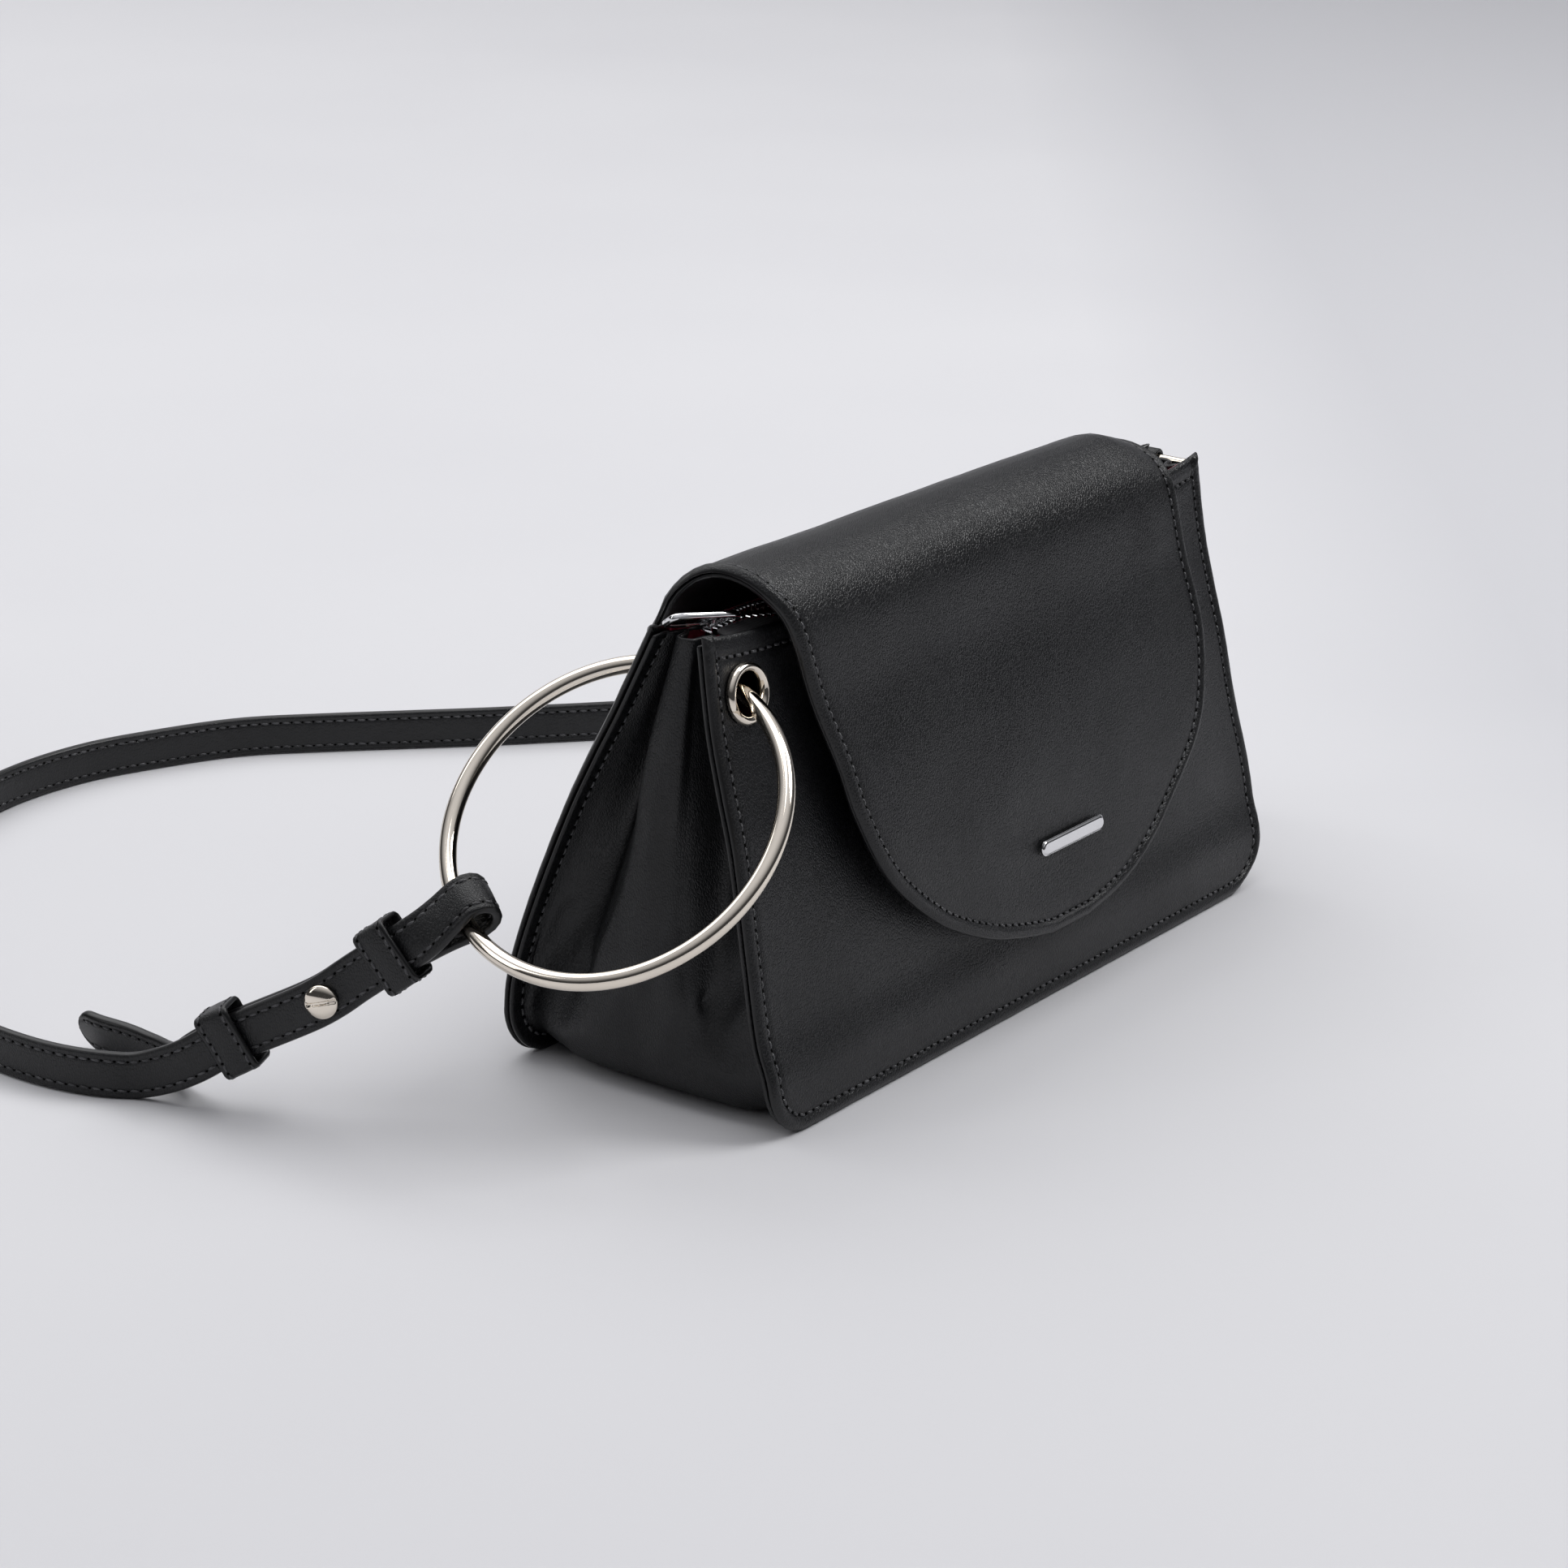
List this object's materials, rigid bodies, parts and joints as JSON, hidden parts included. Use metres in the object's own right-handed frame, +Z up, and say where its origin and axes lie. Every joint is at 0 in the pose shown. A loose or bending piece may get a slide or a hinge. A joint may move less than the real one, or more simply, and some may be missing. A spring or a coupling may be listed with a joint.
{
  "type": "clutch bag",
  "caption": "Small leather flap bag with a big metal ring handle at one end, folded side gussets, an open zip under the flap and a strap lying behind it.",
  "frame": {"origin": "middle of the base, on the surface that the bag stands on", "axes": "+X along the bag from the ring handle to the D-ring, -Y out of the flap's face, +Z up"},
  "size_m": [0.3635, 0.3314, 0.1348],
  "materials": {
    "leather": "fine grain, semi-gloss, black",
    "lining": "matte crimson",
    "zip_tape": "matte black weave with metal teeth",
    "pale_gold": "mirror polished, pale champagne gold",
    "zip_metal": "mirror polished"
  },
  "bodies": {
    "root": {"front_panel": "leather", "back_panel": "leather", "gusset": "leather", "flap": "leather", "flap_lining": "leather", "strap": "leather", "keeper_left_1": "leather", "keeper_left_2": "leather", "keeper_right_1": "leather", "keeper_right_2": "leather", "d_ring_tab": "leather", "lining_front": "lining", "lining_back": "lining", "zip_tape_front": "zip_tape", "zip_tape_back": "zip_tape", "ring": "pale_gold", "eyelet_front": "pale_gold", "eyelet_back": "pale_gold", "stud_left": "pale_gold", "stud_right": "pale_gold", "d_ring": "pale_gold", "zip_slider": "zip_metal", "zip_puller": "zip_metal", "flap_bar": "zip_metal"}
  },
  "joints": []
}
